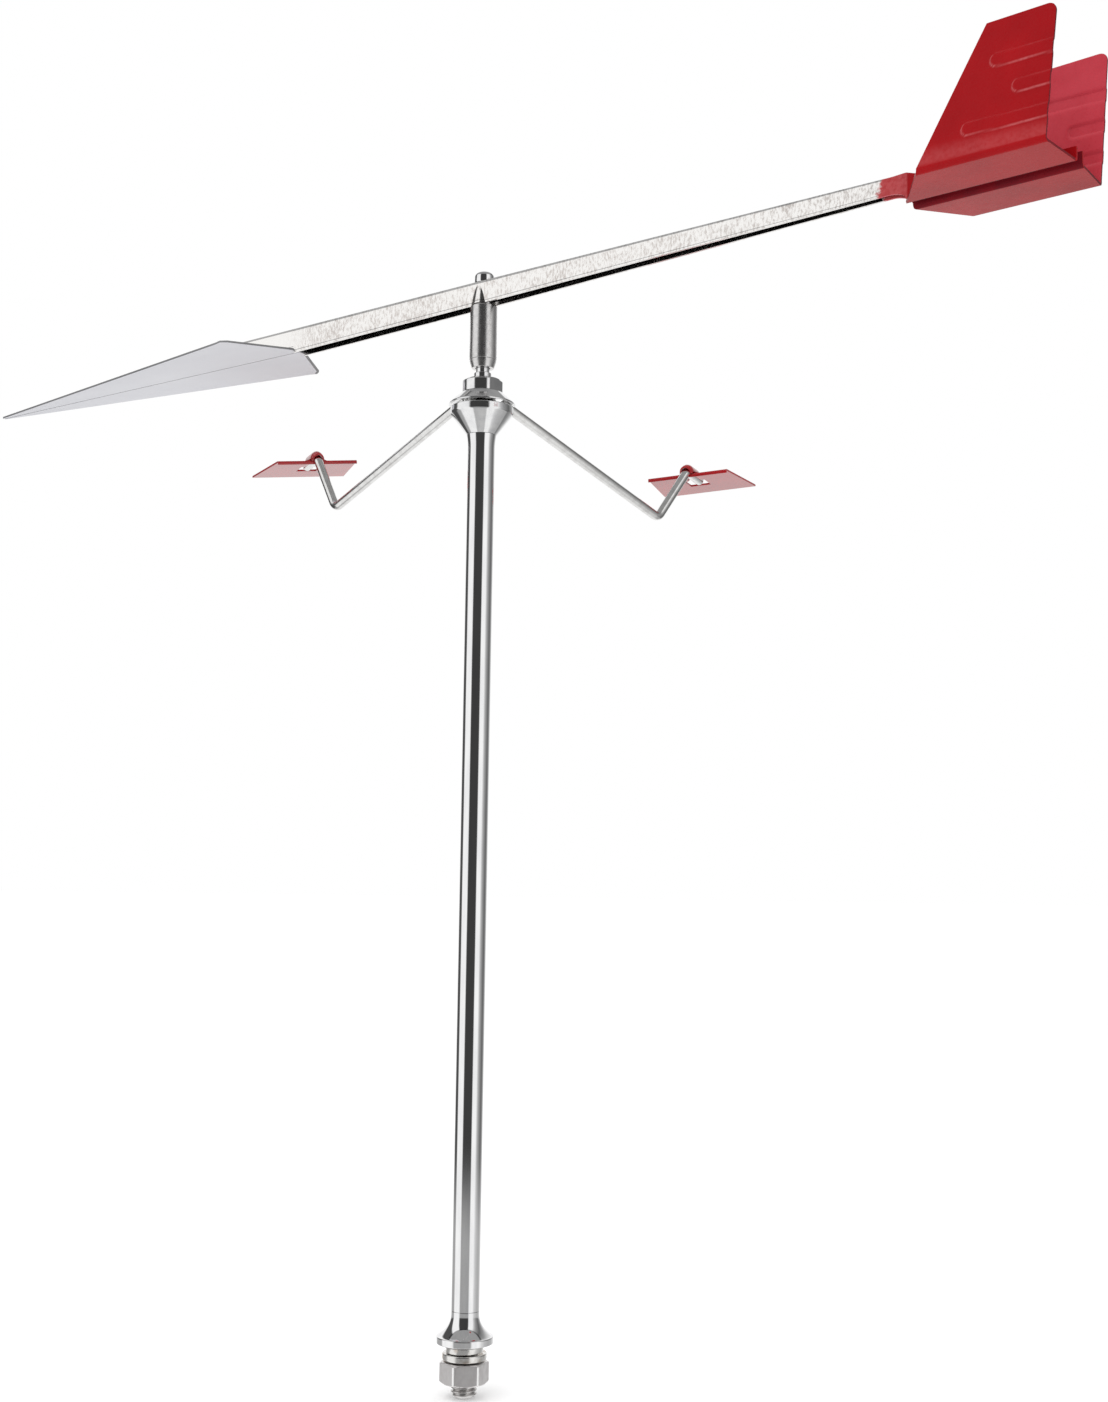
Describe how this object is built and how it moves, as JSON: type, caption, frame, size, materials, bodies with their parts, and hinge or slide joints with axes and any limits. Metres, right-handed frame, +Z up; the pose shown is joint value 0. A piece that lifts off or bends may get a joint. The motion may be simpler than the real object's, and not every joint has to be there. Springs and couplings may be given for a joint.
{
  "type": "masthead wind vane",
  "caption": "Wind direction indicator: balanced arrow with a two-fin tail turning on a polished pole, with clamped reference arms and a threaded mounting stud.",
  "frame": {"origin": "on the pole's axis at the underside of the foot flange, where it meets the mounting surface", "axes": "+Z up the pole, -Y the front; the reference arms point to the back (+Y) and the arrow, at rest, points to the back left"},
  "size_m": [0.4535, 0.3809, 0.4786],
  "materials": {
    "pole_steel": "mirror polished stainless steel",
    "head_steel": "turned and polished stainless steel",
    "nut_steel": "satin stainless steel, as forged and tumbled",
    "washer_steel": "bright stainless steel",
    "thread_steel": "rolled thread, bright",
    "bearing_steel": "ground bearing steel",
    "rod_steel": "drawn stainless rod",
    "strip_steel": "bright rolled stainless strip; arrow blade matt light grey, tail painted gloss red",
    "tab_red": "gloss red enamel on sheet steel"
  },
  "bodies": {
    "mast": {"pole_tube": "pole_steel", "foot_flange": "pole_steel", "mounting_stud": "thread_steel", "spring_lock_washer": "washer_steel", "flat_washer": "washer_steel", "hex_nut": "nut_steel", "head_insert": "head_steel", "head_cone": "head_steel", "clamp_dome_washer": "head_steel", "pivot_spindle": "head_steel", "lower_bearing_inner_ring": "bearing_steel", "upper_bearing_inner_ring": "bearing_steel", "bearing_spacer": "bearing_steel", "spindle_circlip": "bearing_steel"},
    "vane": {"lower_bearing_outer_ring": "bearing_steel", "upper_bearing_outer_ring": "bearing_steel", "bearing_balls": "bearing_steel", "bearing_barrel": "head_steel", "bearing_retainer": "head_steel", "pivot_cap_screw": "head_steel", "vane_half_near": "strip_steel", "vane_half_far": "strip_steel"},
    "left_arm": {"arm_left": "rod_steel", "tab_left": "tab_red"},
    "right_arm": {"arm_right": "rod_steel", "tab_right": "tab_red"}
  },
  "joints": [
    {"name": "vane_spin", "type": "hinge", "parent": "mast", "child": "vane", "pos_m": [0, 0, 0.395], "axis": [0, 0, 1], "continuous": true},
    {"name": "left_arm_swing", "type": "hinge", "parent": "mast", "child": "left_arm", "pos_m": [0, 0, 0.3717], "axis": [0, 0, 1], "range_deg": [-15, 15]},
    {"name": "right_arm_swing", "type": "hinge", "parent": "mast", "child": "right_arm", "pos_m": [0, 0, 0.3694], "axis": [0, 0, 1], "range_deg": [-15, 15]}
  ]
}
